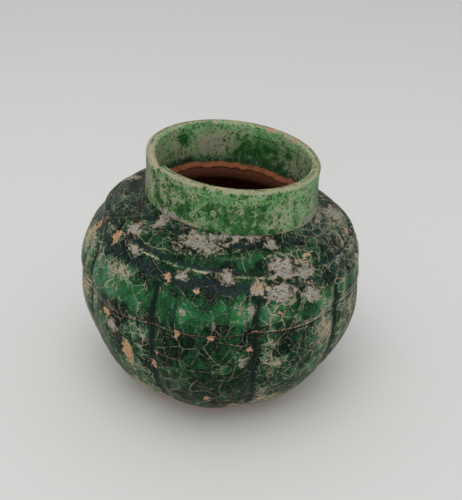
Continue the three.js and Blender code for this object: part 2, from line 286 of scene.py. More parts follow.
class Form:
    """The vase's surfaces in metres, from the shape settings and the CAD frame."""

    def __init__(self, shape):
        self.s = s = shape
        span = s.belly_radius - s.neck_radius
        self.band_inner = s.neck_radius + s.trough_share * span
        self.band_outer = self.band_inner + s.band_share * span
        self.bead_inner = self.band_outer + s.groove_share * span
        self.bead_outer = self.bead_inner + s.bead_share * span
        self.lobe_top_radius = self.bead_outer + s.valley_share * span
        self.lobe_top = float(self.crest_height(self.lobe_top_radius))
        self.seat = float(self.crest_height(s.neck_radius)) + s.seat_raise
        self.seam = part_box("lower_body")[1][2]
        self.bare_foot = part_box("lower_body_glaze")[0][2]
        self.lining = s.glaze + s.wall
        self.bore = s.neck_radius - s.glaze - s.neck_wall
        self.mouth = self.bore - s.ledge_width

    def crest_radius(self, z):
        s = self.s
        drop = np.clip(1.0 - z / s.belly_height, 0.0, 1.0)
        flare = (1.0 - drop**s.lower_roundness) ** (1.0 / s.lower_roundness)
        low = s.foot_radius + (s.belly_radius - s.foot_radius) * flare
        rise = np.clip((z - s.belly_height) / s.shoulder_rise, 0.0, 0.9999)
        high = s.belly_radius * (1.0 - rise**s.upper_roundness) ** (1.0 / s.upper_roundness)
        return np.where(z < s.belly_height, low, high)

    def crest_height(self, r):
        s = self.s
        reach = (np.asarray(r) / s.belly_radius) ** s.upper_roundness
        return s.belly_height + s.shoulder_rise * (1.0 - reach) ** (1.0 / s.upper_roundness)

    def outward(self, r, z):
        s = self.s
        upper = z >= s.belly_height
        power = np.where(upper, s.upper_roundness, s.lower_roundness) - 1.0
        reach = np.where(upper, s.belly_radius, s.belly_radius - s.foot_radius)
        run = np.maximum(np.where(upper, r, r - s.foot_radius), 1e-9)
        height = np.where(upper, s.shoulder_rise, s.belly_height)
        along = (run / reach) ** power / reach
        up = (np.abs(z - s.belly_height) / height) ** power / height
        size = np.hypot(along, up)
        return along / size, np.where(upper, up, -up) / size

    def swell(self, r, low, high):
        return np.sin(np.pi * np.clip((r - low) / (high - low), 0.0, 1.0))

    def moulding(self, r):
        s = self.s
        up = s.band_height * self.swell(r, self.band_inner, self.band_outer)
        up = up + s.bead_height * self.swell(r, self.bead_inner, self.bead_outer)
        down = s.trough_depth * self.swell(r, s.neck_radius, self.band_inner)
        down = down + s.groove_depth * self.swell(r, self.band_outer, self.bead_inner)
        return up - down - s.valley_depth * self.swell(r, self.bead_outer, self.lobe_top_radius)

    def angle(self, turn, z=None):
        """Angle of a turn counted in lobes, on the body at a height or on the neck."""
        s = self.s
        even = 2.0 * np.pi * (turn + 0.5) / s.lobes
        flare = 0.0 if z is None else s.lobe_flare * (1.0 - smooth(z, 0.0, s.belly_height))
        return s.lobe_turn + even + (s.lobe_spread + flare) * np.sin(even)

    def away(self, turn):
        """Distance to the nearest furrow, in lobes."""
        return np.abs(turn - np.round(turn))

    def furrow(self, turn):
        s = self.s
        away = self.away(turn)
        round_part = 1.0 - np.hypot(np.sin(np.pi * away), s.furrow_softness)
        return s.furrow_depth * round_part + s.channel_depth * (1.0 - smooth(away, 0.0, s.channel_share))

    def lobe_fade(self, z):
        return 1.0 - smooth(z, self.lobe_top - 0.003, self.lobe_top + 0.002)

    def wall_rows(self, z):
        """Rows of radius, height and outward direction on the wall."""
        r = self.crest_radius(z)
        return np.column_stack([r, z, *self.outward(r, z)])

    def sunk_wall(self, z, depth):
        """Rows in the wall, a depth below its skin."""
        rows = self.wall_rows(z)
        rows[:, 0] -= depth / rows[:, 2]
        return rows

    def shoulder_rows(self, r):
        z = self.crest_height(r)
        along, up = self.outward(r, z)
        m = self.moulding(r)
        return np.column_stack([r + along * m, z + up * m, along, up])

    def root_rows(self, start, count):
        """Rows that sweep from the shoulder up against the neck's root."""
        s = self.s
        low = self.shoulder_rows(np.array([start]))[0]
        corner = self.shoulder_rows(np.array([s.neck_radius + 0.0004]))[0]
        top = np.array([s.neck_radius + 0.00012, self.seat + 0.0007, 0.9, 0.44])
        t = np.linspace(0.0, 1.0, count + 1)[1:, None]
        return (1 - t) ** 2 * low + 2 * t * (1 - t) * corner + t**2 * top

    def drift(self, height):
        """How far a section slides and tilts towards the askew neck, from 0 to 1."""
        top = self.seat - self.s.wall
        return smooth(height, self.seam + self.s.wall, top), smooth(height, self.seam, top)

    def on_body(self, rows, turns, lift=0.0, lobed=1.0):
        """Points of the body for rows and turns, lifted square to the skin."""
        s = self.s
        r, z, along, up = (rows[:, k, None] for k in range(4))
        angle = self.angle(turns[None, :], z)
        height = z + up * lift
        radius = r + along * lift - lobed * self.lobe_fade(z) * self.furrow(turns)[None, :]
        slide, tilt = self.drift(height)
        x = radius * np.sin(angle)
        y = -radius * np.cos(angle)
        parts = slide * s.neck_right + x, slide * s.neck_back + y, height + tilt * s.seat_slope * x
        return np.stack(np.broadcast_arrays(*parts), axis=-1)

    def neck_skin(self, rise):
        up = rise / self.s.neck_height
        return self.s.neck_radius - self.s.lip_taper * up - self.s.neck_waist * np.sin(np.pi * up)

    def chip(self, angle):
        """How far the lip is broken down at an angle."""
        s = self.s
        wrapped = (angle + np.pi) % (2.0 * np.pi) - np.pi
        along = (wrapped - s.chip_angle) / s.chip_turn
        return s.chip_depth * np.clip(along, 0.0, 1.0) * (1.0 - smooth(along, 1.0, 1.05))

    def on_neck(self, r, rise, angle):
        s = self.s
        rise = rise - self.chip(angle) * smooth(rise, s.neck_height - 0.006, s.neck_height)
        up = rise / s.neck_height
        x = r * np.sin(angle)
        y = -r * np.cos(angle)
        slope = (1.0 - up) * s.seat_slope * x + up * (s.rim_slope_right * x + s.rim_slope_back * y)
        across = s.neck_right + up * s.lean_right + x
        behind = s.neck_back + up * s.lean_back + y
        return np.stack(np.broadcast_arrays(across, behind, self.seat + rise + slope), axis=-1)

    def body_spot(self, degrees, height):
        """A point on the body's skin with its sideways, upward and outward directions."""
        s = self.s
        a = math.radians(degrees)
        z = np.array([height])
        r = float(self.crest_radius(z)[0])
        along, up = (float(v[0]) for v in self.outward(np.array([r]), z))
        slide, tilt = self.drift(height)
        x, y = r * math.sin(a), -r * math.cos(a)
        lifted = height + tilt * s.seat_slope * x
        point = np.array([slide * s.neck_right + x, slide * s.neck_back + y, lifted])
        side = np.array([math.cos(a), math.sin(a), 0.0])
        upward = np.array([-up * math.sin(a), up * math.cos(a), along])
        out = np.array([along * math.sin(a), -along * math.cos(a), up])
        return point, side, upward, out

    def neck_spot(self, degrees, rise):
        a = math.radians(degrees)
        point = self.on_neck(np.array([self.neck_skin(rise)]), np.array([rise]), np.array([a]))[0]
        side = np.array([math.cos(a), math.sin(a), 0.0])
        out = np.array([math.sin(a), -math.cos(a), 0.0])
        return point, side, np.array([0.0, 0.0, 1.0]), out


def patches(points, spots, places):
    """1 at the middle of the nearest place, 0 at its edge and less outside."""
    best = np.full(points.shape[:-1], -2.0)
    for degrees, height, wide, long in places:
        point, side, upward, out = spots(degrees, height * MM)
        d = points - point
        reach = (d @ side / (wide * MM)) ** 2 + (d @ upward / (long * MM)) ** 2
        reach = reach + (d @ out / (PATCH_DEPTH * MM)) ** 2
        best = np.maximum(best, 1.0 - np.sqrt(reach))
    return best


def scattered(count, seed, low_angle, high_angle, low, high, smallest, largest):
    """Places for the sides that the photograph doesn't show."""
    rng = np.random.default_rng(seed)
    least = low_angle, low, smallest, smallest
    most = high_angle, high, largest, largest
    return tuple(map(tuple, rng.uniform(least, most, (count, 4))))


def make_piece(name, rows, node, material, masks):
    """A closed mesh from rings of points. Rings that shrink to a point at both ends close there."""
    m, n, _ = rows.shape
    capped = np.ptp(rows[0], axis=0).max() < 1e-9
    i, j = np.meshgrid(np.arange(m - 1 if capped else m), np.arange(n), indexing="ij")
    beside = (j + 1) % n
    above = (i + 1) % m
    faces = np.stack([i * n + j, i * n + beside, above * n + beside, above * n + j], axis=-1).reshape(-1, 4)
    keep = slice(0, m * n)
    if capped:
        keep = slice(n - 1, (m - 1) * n + 1)
        faces = np.clip(faces, keep.start, keep.stop - 1) - keep.start
        faces = [list(dict.fromkeys(face)) for face in faces.tolist()]
    else:
        faces = faces.tolist()
    mesh = bpy.data.meshes.new(name)
    mesh.from_pydata(rows.reshape(-1, 3)[keep].tolist(), [], faces)
    for key, values in masks.items():
        layer = mesh.attributes.new(key, "FLOAT", "POINT")
        layer.data.foreach_set("value", np.ascontiguousarray(values, dtype=np.float32).ravel()[keep])
    mesh.shade_smooth()
    mesh.set_sharp_from_angle(angle=SHARP_EDGE)
    mesh.materials.append(material)
    piece = bpy.data.objects.new(name, mesh)
    bpy.context.scene.collection.objects.link(piece)
    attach(piece, "root")
    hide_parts(node)


class Net:
    """Adds linked nodes to a shader tree."""

    def __init__(self, tree):
        self.tree = tree

    def put(self, socket, value):
        if isinstance(value, bpy.types.NodeSocket):
            self.tree.links.new(value, socket)
        else:
            socket.default_value = value

    def add(self, kind, inputs, **settings):
        node = self.tree.nodes.new("ShaderNode" + kind)
        for key, value in settings.items():
            setattr(node, key, value)
        for key, value in inputs.items():
            self.put(node.inputs[key], value)
        return node

    def group(self, tree, **inputs):
        return self.add("Group", inputs, node_tree=tree).outputs

    def math(self, operation, a, b, clamp=False):
        return self.add("Math", {0: a, 1: b}, operation=operation, use_clamp=clamp).outputs[0]

    def times(self, a, b):
        return self.math("MULTIPLY", a, b)

    def plus(self, *terms):
        """Sum of terms, each a value or a pair of value and weight."""
        total = 0.0
        for term in terms:
            value, weight = term if isinstance(term, tuple) else (term, 1.0)
            inputs = {0: value, 1: weight, 2: total}
            total = self.add("Math", inputs, operation="MULTIPLY_ADD").outputs[0]
        return total

    def step(self, value, low, high):
        inputs = {"Value": value, "From Min": low, "From Max": high}
        return self.add("MapRange", inputs, interpolation_type="SMOOTHSTEP").outputs["Result"]

    def span(self, value, low, high, to_low, to_high, clamp=True):
        inputs = {"Value": value, "From Min": low, "From Max": high, "To Min": to_low, "To Max": to_high}
        return self.add("MapRange", inputs, clamp=clamp).outputs["Result"]

    def mix(self, factor, a, b):
        return self.add("Mix", {0: factor, 6: a, 7: b}, data_type="RGBA").outputs[2]

    def stretch(self, vector, factors):
        return self.add("VectorMath", {0: vector, 1: factors}, operation="MULTIPLY").outputs[0]

    def noise(self, vector, scale, detail, output="Fac"):
        return self.add("TexNoise", {"Vector": vector, "Scale": scale, "Detail": detail}).outputs[output]

    def swing(self, vector, scale, detail):
        """Noise that swings between about -1 and 1."""
        return self.span(self.noise(vector, scale, detail), 0.3, 0.7, -1.0, 1.0, clamp=False)

    def edges(self, vector, scale):
        node = self.add("TexVoronoi", {"Vector": vector, "Scale": scale}, feature="DISTANCE_TO_EDGE")
        return node.outputs["Distance"]

    def cells(self, vector, scale):
        """A value for each cell, between about -1 and 1."""
        node = self.add("TexVoronoi", {"Vector": vector, "Scale": scale})
        return self.span(node.outputs["Color"], 0.2, 0.8, -1.0, 1.0, clamp=False)

    def attribute(self, name):
        return self.add("Attribute", {}, attribute_name=name).outputs["Fac"]


def new_group(name, inputs, outputs):
    tree = bpy.data.node_groups.new(name, "ShaderNodeTree")
    for label, kind in inputs.items():
        tree.interface.new_socket(label, in_out="INPUT", socket_type="NodeSocket" + kind)
    for label, kind in outputs.items():
        tree.interface.new_socket(label, in_out="OUTPUT", socket_type="NodeSocket" + kind)
    net = Net(tree)
    return net, tree.nodes.new("NodeGroupInput").outputs, tree.nodes.new("NodeGroupOutput").inputs


# Waves to the metre and octaves of the noises
GRAIN = {"Fine": (2300.0, 2.0), "Small": (1000.0, 3.0), "Middle": (400.0, 3.0), "Broad": (110.0, 2.0)}
STREAKS = (520.0, 3.0)
WANDER = (300.0, 6.0)
WANDER_REACH = 0.0017
STREAK_STRETCH = (1.0, 1.0, 0.2)


def grain_group():
    """Noise at four sizes, upright streaks, and coordinates that wander a little."""
    outputs = {"Wandering": "Vector", **dict.fromkeys((*GRAIN, "Streaks"), "Float")}
    net, given, out = new_group("Grain", {"Vector": "Vector"}, outputs)
    at = given["Vector"]
    drift = net.noise(at, *WANDER, "Color")
    drift = net.add("VectorMath", {0: drift, 1: (0.5, 0.5, 0.5)}, operation="SUBTRACT").outputs[0]
    inputs = {0: drift, 1: (WANDER_REACH, WANDER_REACH, WANDER_REACH), 2: at}
    net.put(out["Wandering"], net.add("VectorMath", inputs, operation="MULTIPLY_ADD").outputs[0])
    for label, (scale, octaves) in GRAIN.items():
        net.put(out[label], net.swing(at, scale, octaves))
    net.put(out["Streaks"], net.swing(net.stretch(at, STREAK_STRETCH), *STREAKS))
    return net.tree


# The pool mask holds pooled glaze and painted shade in the hollows; the wear mask holds wear and, near the
# body's left and right edges, a painted sheen.
MASKS = ("Tone", "Pool", "Wear_and_sheen", "Crust", "Bare")
PATTERN = ("Cell", "Straight", "Mottle", "Crackle", "Line", "Islands")
GLAZE_COLOURS = ("Deep", "Bright", "Pooled_shade_and_sheen", "Crack", "Worn", "Bloom", "Crusted", "Clay")
BLACK = (0.004, 0.012, 0.005, 1.0)

# Cells to the metre of each kind of crack and of the crust
WIDE_CELLS = 235.0
NARROW_CELLS = 520.0
LONG_CELLS = 100.0
TALL_CELLS = 150.0
TALL_STRETCH = (1.3, 1.3, 0.8)
CRUST_CELLS = 950.0


def glaze_group(grain):
    """Colour, roughness and height of weathered glaze from masks that the mesh carries."""
    inputs = {"Vector": "Vector", **dict.fromkeys((*PATTERN, *MASKS), "Float")}
    inputs.update(dict.fromkeys(GLAZE_COLOURS, "Color"))
    outputs = {"Color": "Color", "Roughness": "Float", "Height": "Float"}
    net, given, out = new_group("Weathered glaze", inputs, outputs)
    g = net.group(grain, Vector=given["Vector"])
    fine, small = g["Fine"], g["Small"]
    base, pool, island, mottle = green_layer(net, given, g)
    base, wear_and_sheen, film, pits = film_layer(net, given, g, base, pool, island, mottle)
    base, cracks, earth = crack_layer(net, given, g, base, pool, wear_and_sheen)
    base, crust = crust_layer(net, given, g, base, earth)
    base, bare = bare_layer(net, given, g, base)
    net.put(out["Color"], base)
    rough = net.plus((film, 0.35), (cracks, 0.3), (crust, 0.4), (bare, 0.45), (small, 0.05), 0.34)
    net.put(out["Roughness"], net.math("MINIMUM", rough, 0.92))
    height = net.plus((cracks, -0.45), (crust, 0.4), (bare, -0.4), (fine, 0.1), (small, 0.12), (pits, -0.15))
    net.put(out["Height"], height)
    return net.tree


def green_layer(net, given, g):
    """Thin and thick glaze, pooled in the hollows and darkened there with painted shade, near black in the
    furrows, with pale specks.
    """
    fine, small, middle, broad = (g[key] for key in GRAIN)
    island = net.cells(g["Wandering"], net.times(given["Cell"], WIDE_CELLS))
    island = net.times(island, given["Islands"])
    mottle = net.times(net.plus((small, 0.9), (fine, 0.6)), given["Mottle"])
    tone = net.plus(given["Tone"], (middle, 0.14), (broad, 0.2), (g["Streaks"], 0.2), mottle, island)
    base = net.mix(net.math("ADD", tone, 0.0, clamp=True), given["Deep"], given["Bright"])
    # Towards the pooled colour where the pool mask is high, and near black past 1 in the furrows: pooled
    # glaze and painted shade in the hollows.
    pool = net.step(net.plus(given["Pool"], (middle, 0.25), (small, 0.2), (broad, 0.2)), 0.2, 0.95)
    depth = net.step(net.plus(given["Pool"], (small, 0.4), (fine, 0.4), (middle, 0.2)), 0.7, 1.25)
    pooled_shade_and_sheen = net.mix(net.times(depth, 0.85), given["Pooled_shade_and_sheen"], BLACK)
    base = net.mix(net.times(pool, 0.92), base, pooled_shade_and_sheen)
    specks = net.step(net.plus((fine, -1.0), (small, -0.6), (middle, -0.2), (pool, -0.5)), 0.85, 1.15)
    return net.mix(net.times(specks, 0.35), base, given["Worn"]), pool, island, mottle


def film_layer(net, given, g, base, pool, island, mottle):
    """A pale film where the glaze is worn, which near the body's left and right edges also stands for a
    painted sheen, and dark pits.
    """
    fine, small, middle, broad = (g[key] for key in GRAIN)
    wear_and_sheen = net.plus(given["Wear_and_sheen"], (middle, 0.18), (broad, 0.24), (small, 0.1), (pool, -0.35), (island, 0.4))
    film = net.step(net.plus(wear_and_sheen, (mottle, 1.6), (g["Streaks"], 0.2)), 0.45, 0.95)
    film = net.times(film, 0.75)
    base = net.mix(film, base, given["Bloom"])
    pits = net.step(net.plus((fine, 0.6), small, (given["Mottle"], 1.2)), 0.95, 1.25)
    return net.mix(net.times(pits, 0.85), base, BLACK), wear_and_sheen, film, pits


def wide_cracks(net, given, g, wear_and_sheen, ragged):
    """The main crackle: lines that widen with wear."""
    wide = net.edges(g["Wandering"], net.times(given["Cell"], WIDE_CELLS))
    width = net.plus(net.span(wear_and_sheen, 0.0, 0.8, 0.002, 0.026), net.span(wear_and_sheen, 0.75, 1.3, 0.0, 0.11))
    wide = net.math("SUBTRACT", net.plus(wide, ragged), net.times(width, given["Line"]))
    shown = net.step(net.plus(wear_and_sheen, (g["Broad"], 0.25), (g["Middle"], 0.15)), 0.0, 0.4)
    return net.times(net.step(wide, 0.022, -0.012), shown)


def narrow_cracks(net, given, g, wear_and_sheen, ragged):
    """A finer crackle that opens where the glaze is worn."""
    narrow = net.edges(g["Wandering"], net.times(given["Cell"], NARROW_CELLS))
    width = net.span(wear_and_sheen, 0.25, 1.2, -0.07, 0.17)
    narrow = net.math("SUBTRACT", net.plus(narrow, (ragged, 2.0)), width)
    return net.step(narrow, 0.03, -0.03)


def long_cracks(net, given, g, pool):
    """Long straight cracks, clearest in dark glaze."""
    tall = net.stretch(given["Vector"], TALL_STRETCH)
    lines = net.math("MINIMUM", net.edges(given["Vector"], LONG_CELLS), net.edges(tall, TALL_CELLS))
    lines = net.times(net.step(lines, 0.015, 0.004), given["Straight"])
    faint = net.plus(g["Small"], (g["Middle"], 0.6), (pool, -1.0), (given["Tone"], -1.5))
    return net.times(lines, net.step(faint, -1.2, 0.3))


def crack_layer(net, given, g, base, pool, wear_and_sheen):
    """Cracks filled with earth, and places scoured down to the clay's skin."""
    fine, small, middle = g["Fine"], g["Small"], g["Middle"]
    ragged = net.plus((small, 0.016), (fine, 0.018))
    wide = wide_cracks(net, given, g, wear_and_sheen, ragged)
    cracks = net.math("MAXIMUM", wide, narrow_cracks(net, given, g, wear_and_sheen, ragged))
    cracks = net.times(cracks, given["Crackle"])
    cracks = net.math("MAXIMUM", cracks, long_cracks(net, given, g, pool))
    earth = net.mix(net.step(net.plus(middle, (small, 0.8)), -0.6, 0.8), given["Crack"], given["Worn"])
    clear = net.span(net.plus(middle, (small, 0.6), (wear_and_sheen, 0.8)), -0.6, 0.8, 0.6, 1.0)
    base = net.mix(net.times(cracks, clear), base, earth)
    scoured = net.step(net.plus(wear_and_sheen, (small, 0.35), (fine, 0.3), (middle, 0.2)), 1.0, 1.35)
    return net.mix(net.times(scoured, 0.8), base, given["Worn"]), cracks, earth


def crust_layer(net, given, g, base, earth):
    """Scaly silver crust with a fringe of earth and dark and brown specks."""
    fine, small, middle = g["Fine"], g["Small"], g["Middle"]
    scales = net.cells(g["Wandering"], CRUST_CELLS)
    crust = net.plus(given["Crust"], (scales, 0.32), (middle, 0.45), (small, 0.4), (fine, 0.25))
    base = net.mix(net.times(net.step(crust, -0.25, 0.05), 0.5), base, earth)
    crust = net.step(crust, 0.0, 0.2)
    silver = net.mix(net.step(net.plus(fine, (small, 0.5)), -0.6, 0.7), given["Crusted"], given["Worn"])
    dark = net.step(net.plus(fine, (small, 0.6)), 0.15, 0.65)
    silver = net.mix(net.times(dark, 0.8), silver, given["Pooled_shade_and_sheen"])
    brown = net.step(net.plus(scales, (middle, 0.5)), 0.5, 0.9)
    silver = net.mix(net.times(brown, 0.4), silver, given["Crack"])
    return net.mix(net.times(crust, 0.95), base, silver), crust


def bare_layer(net, given, g, base):
    """Clay where the glaze is gone."""
    fine, small, middle = g["Fine"], g["Small"], g["Middle"]
    bare = net.step(net.plus(given["Bare"], (small, 0.55), (fine, 0.3), (middle, 0.25)), 0.12, 0.25)
    clay = net.mix(net.step(net.plus((fine, 0.8), small), -0.8, 0.8), given["Clay"], given["Crack"])
    return net.mix(bare, base, clay), bare


def new_material(name):
    material = bpy.data.materials.new(name)
    material.use_nodes = True
    tree = material.node_tree
    return material, Net(tree), tree.nodes["Principled BSDF"]


# Settings of the crackle in the order of PATTERN
BODY_PATTERN = (1.0, 0.6, 0.3, 1.0, 1.0, 0.15)
NECK_PATTERN = (2.3, 0.25, 0.6, 0.85, 8.5, 0.24)
GLAZE_SHINE = 0.05


def glaze_material(name, colours, pattern):
    """Weathered glaze that reads its masks from the mesh."""
    group = glaze_tree()
    material, net, shader = new_material(name)
    node = net.add("Group", {}, node_tree=group)
    net.put(node.inputs["Vector"], net.add("TexCoord", {}).outputs["Object"])
    for label, value in zip(PATTERN, pattern):
        node.inputs[label].default_value = value
    for mask in MASKS:
        net.put(node.inputs[mask], net.attribute(mask.lower()))
    for label, value in zip(GLAZE_COLOURS, colours):
        node.inputs[label].default_value = (*value, 1.0)
    net.put(shader.inputs["Base Color"], node.outputs["Color"])
    net.put(shader.inputs["Roughness"], node.outputs["Roughness"])
    bump = net.add("Bump", {"Height": node.outputs["Height"], "Strength": 0.8, "Distance": 0.0003})
    net.put(shader.inputs["Normal"], bump.outputs["Normal"])
    shader.inputs["Specular IOR Level"].default_value = GLAZE_SHINE
    return material


def clay_material(name, grain, fresh, stained):
    """Fired clay, stained where the mesh's stain mask is high."""
    material, net, shader = new_material(name)
    g = net.group(grain, Vector=net.add("TexCoord", {}).outputs["Object"])
    stain = net.plus(net.attribute("stain"), (g["Middle"], 0.3), (g["Small"], 0.25), (g["Broad"], 0.2))
    base = net.mix(net.step(stain, 0.25, 0.75), (*fresh, 1.0), (*stained, 1.0))
    speck = net.times(net.step(net.plus(g["Fine"], (g["Small"], 0.5)), 0.4, 1.1), 0.5)
    base = net.mix(speck, base, (*(0.35 * v for v in stained), 1.0))
    net.put(shader.inputs["Base Color"], base)
    shader.inputs["Roughness"].default_value = 0.9
    shader.inputs["Specular IOR Level"].default_value = 0.2
    height = net.plus((g["Fine"], 0.3), (g["Small"], 0.4), (g["Middle"], 0.4))
    bump = net.add("Bump", {"Height": height, "Strength": 0.7, "Distance": 0.0002})
    net.put(shader.inputs["Normal"], bump.outputs["Normal"])
    return material


def shared_group(name, make):
    return bpy.data.node_groups.get(name) or make()


def glaze_tree():
    grain = shared_group("Grain", grain_group)
    return shared_group("Weathered glaze", lambda: glaze_group(grain))


def body_colours(finish):
    """Colours of the body in the order of GLAZE_COLOURS."""
    glaze = finish.deep, finish.bright, finish.pooled_shade_and_sheen
    return *glaze, finish.crack, finish.worn, finish.bloom, finish.crust, finish.clay


def neck_colours(finish):
    """Colours of the neck in the order of GLAZE_COLOURS."""
    glaze = finish.neck_deep, finish.neck_bright, finish.pooled_shade_and_sheen
    return *glaze, finish.neck_crack, finish.neck_worn, finish.neck_bloom, finish.crust, finish.clay


def even_turns(form, count):
    return np.arange(count) * form.s.lobes / count


def with_back(masks, shape, picks):
    """Masks for a coat's skin and for the picked rows that repeat it on the clay."""
    whole = {key: np.broadcast_to(values, shape) for key, values in masks.items()}
    return {key: np.concatenate([values, values[picks]]) for key, values in whole.items()}


class VASE_OT_clay(bpy.types.Operator):
    """Build the two pressed halves and the collar of bare clay"""

    bl_idname = "vase.clay"
    bl_label = "Clay"

    def execute(self, context):
        form = Form(context.scene.vase_shape)
        finish = context.scene.vase_finish
        grain = shared_group("Grain", grain_group)
        clay = clay_material("fired_clay", grain, finish.clay, finish.dark_clay)
        lip = clay_material("rubbed_clay", grain, finish.pale_clay, finish.lip_stain)
        self.lower_half(form, clay)
        self.upper_half(form, clay)
        self.collar(form, lip)
        return {"FINISHED"}

    def lower_half(self, form, material):
        s = form.s
        turns = even_turns(form, CLAY_COLUMNS)
        floor_top = s.foot_hollow + s.floor_thickness
        ring_inner = s.foot_radius - s.foot_ring

        def flat(radii, heights):
            rows = np.column_stack([radii, heights, np.zeros(len(radii)), np.ones(len(radii))])
            return form.on_body(rows, turns, 0.0, 0.0)

        hollow = np.linspace(0.0, ring_inner - s.foot_hollow, 8)
        under = flat(np.append(hollow, ring_inner), np.append(np.full(len(hollow), s.foot_hollow), 0.0))
        z = np.linspace(0.0, 1.0, 44)[1:] ** 1.5 * form.seam
        rows = form.sunk_wall(z, s.glaze)
        rows[:, 0] -= s.seam_step * smooth(z, s.belly_height, form.seam)
        edge = np.array([[s.foot_radius - s.glaze, 0.0, 1.0, 0.0]])
        outside = form.on_body(np.vstack([edge, rows]), turns)
        rows = form.sunk_wall(np.linspace(form.seam, floor_top + FLOOR_ROUND, 40), form.lining)
        inside = form.on_body(rows, turns, 0.0, INNER_LOBES)
        disc = np.linspace(rows[-1, 0] - FLOOR_ROUND, 0.0, 10)
        floor = flat(disc, np.full(len(disc), floor_top))
        points = np.concatenate([under, outside, inside, floor])
        points[..., 2] += WAVE * lattice_noise(points, 0.006, 3) * (points[..., 2] > FOOT_SMOOTH)
        stain = np.full(points.shape[:2], 0.2)
        make_piece("lower_half", points, "lower_body", material, {"stain": stain})

    def upper_half(self, form, material):
        s = form.s
        turns = even_turns(form, CLAY_COLUMNS)
        walls = form.wall_rows(np.linspace(form.seam, form.lobe_top, 12)[:-1])
        ring = form.shoulder_rows(np.linspace(form.lobe_top_radius, s.neck_radius + 0.0008, 48))
        outside = form.on_body(np.vstack([walls, ring]), turns, -s.glaze)
        outside[0, :, 2] = form.seam
        vault = form.shoulder_rows(np.linspace(s.neck_radius, form.lobe_top_radius, 24))
        vault[:, :2] -= form.lining * vault[:, 2:]
        seat = (
            (s.neck_radius + 0.0001, form.seat),
            (form.mouth + 0.0004, form.seat),
            (form.mouth, form.seat - 0.0004),
            (form.mouth, vault[0, 1] + 0.001),
            (form.mouth + 0.001, vault[0, 1]),
        )
        seat = np.column_stack([np.array(seat), np.zeros(len(seat)), np.ones(len(seat))])
        inside = form.sunk_wall(np.linspace(vault[-1, 1] - 0.001, form.seam, 20), form.lining)
        seat = form.on_body(seat, turns, 0.0, 0.0)
        vault = form.on_body(vault, turns, 0.0, 0.0)
        points = np.concatenate([outside, seat, vault, form.on_body(inside, turns, 0.0, INNER_LOBES)])
        stain = np.full(points.shape[:2], 0.2)
        stain[len(outside) + 1 :] = 1.4
        make_piece("upper_half", points, "upper_body", material, {"stain": stain})

    def collar(self, form, material):
        s = form.s
        angles = form.angle(even_turns(form, NECK_COLUMNS))[None, :]
        half = s.neck_wall / 2
        bend = s.neck_height - s.lip_crown
        middle = form.neck_skin(bend) - s.glaze - half
        wall = np.linspace(s.gap, bend, 24)
        sweep = np.linspace(0.0, np.pi, 16)[1:-1]
        skin = form.neck_skin(wall) - s.glaze
        r = np.concatenate([skin, middle + half * np.cos(sweep), (skin - s.neck_wall)[::-1]])[:, None]
        rise = np.concatenate([wall, bend + s.lip_crown * np.sin(sweep), wall[::-1]])[:, None]
        points = form.on_neck(r, rise, angles)
        rough = 0.00016 * lattice_noise(points, 0.0035, 5) + 0.00009 * lattice_noise(points, 0.0012, 6)
        near_lip = smooth(rise, s.neck_height - 0.004, s.neck_height - 0.001)
        points[..., 2] += rough * near_lip
        degrees = degrees_of(angles)
        back = 0.5 - 0.5 * np.cos(angles)
        stain = 0.35 + 0.35 * back + 0.3 * bell(degrees, -55.0, 25.0) + 0.2 * bell(degrees, 70.0, 30.0)
        broken = smooth(form.chip(angles), 0.0003, 0.0008) * near_lip
        stain = np.broadcast_to(stain * (1.0 - broken) - 0.5 * broken, points.shape[:2])
        make_piece("collar", points, "neck_collar", material, {"stain": stain})


class VASE_OT_slip(bpy.types.Operator):
    """Build the bands of slip smeared over the joints inside"""

    bl_idname = "vase.slip"
    bl_label = "Slip"

    def execute(self, context):
        form = Form(context.scene.vase_shape)
        finish = context.scene.vase_finish
        grain = shared_group("Grain", grain_group)
        material = clay_material("smeared_slip", grain, finish.slip, finish.dark_clay)
        self.belly(form, material)
        self.neck(form, material)
        return {"FINISHED"}

    def belly(self, form, material):
        low, high = (corner[2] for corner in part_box("belly_luting_slip"))
        middle = form.seam
        reach = min(middle - low, high - middle)
        turns = even_turns(form, CLAY_COLUMNS)
        back = form.sunk_wall(np.linspace(middle - reach, middle + reach, 14), form.lining + form.s.gap)
        face = back[::-1].copy()
        face[:, 0] -= SLIP_EDGE + SLIP_SWELL * np.sin(np.linspace(0.0, np.pi, len(face)))
        back = form.on_body(back, turns, 0.0, INNER_LOBES)
        face = form.on_body(face, turns, 0.0, INNER_LOBES)
        face[..., 2] += 0.0002 * lattice_noise(face, 0.005, 11)
        points = np.concatenate([back, face])
        stain = np.ones(points.shape[:2])
        make_piece("belly_slip", points, "belly_luting_slip", material, {"stain": stain})

    def neck(self, form, material):
        angles = form.angle(even_turns(form, NECK_COLUMNS))[None, :]
        heel = form.bore - form.s.gap
        sweep = np.linspace(0.0, 1.0, 14)
        face = form.mouth + (heel - 0.0005 - form.mouth) * (1.0 - sweep) ** 1.5
        slope = SLIP_TOP + (SLIP_TOE - SLIP_TOP) * sweep**1.3
        r = np.concatenate([[heel - 0.0001], face, [form.mouth, heel]])[:, None]
        rise = np.concatenate([[SLIP_TOP], slope, [form.s.gap, form.s.gap]])[:, None]
        smeared = smooth(rise, 0.0, SLIP_TOE)
        wave = form.on_neck(np.full_like(angles, form.bore), np.zeros_like(angles), angles)
        lift = 0.001 * lattice_noise(wave, 0.007, 21) + 0.0007 * lattice_noise(wave, 0.0025, 22)
        rise = rise + smeared * np.maximum(lift, -0.0007)
        dents = 0.0002 * (1.0 + lattice_noise(form.on_neck(r, rise, angles), 0.0022, 25))
        points = form.on_neck(r - smeared * dents, rise, angles)
        stain = 0.15 + 0.45 * lattice_noise(points, 0.006, 23) + 0.3 * lattice_noise(points, 0.0015, 24)
        make_piece("neck_slip", points, "neck_luting_slip", material, {"stain": stain})


